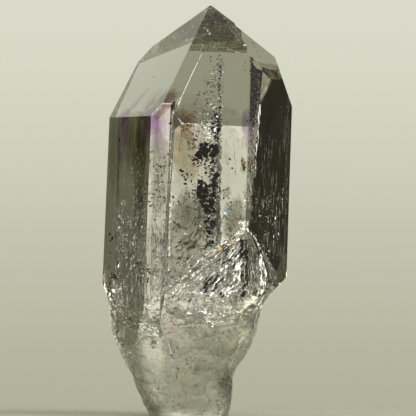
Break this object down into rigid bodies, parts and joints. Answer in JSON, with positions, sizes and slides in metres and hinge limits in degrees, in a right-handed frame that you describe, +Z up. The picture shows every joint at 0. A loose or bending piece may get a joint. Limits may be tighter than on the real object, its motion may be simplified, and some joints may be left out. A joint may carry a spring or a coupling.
{
  "type": "phantom amethyst crystal",
  "caption": "Clear smoky quartz point with a purple phantom near its tip, inner fractures and a tapered milky root that stands on a small flat.",
  "frame": {"origin": "middle of the small flat under the root, on the surface the crystal stands on", "axes": "+Z up, along the crystal's length towards its point; -Y is the front, the side with the widest upright face; +X is to the right seen from the front"},
  "size_m": [0.0284, 0.0226, 0.0615],
  "materials": {
    "quartz": "clear, faintly smoky natural quartz with glossy growth faces and a milky broken root"
  },
  "bodies": {
    "root": {"crystal": "quartz"}
  },
  "joints": []
}
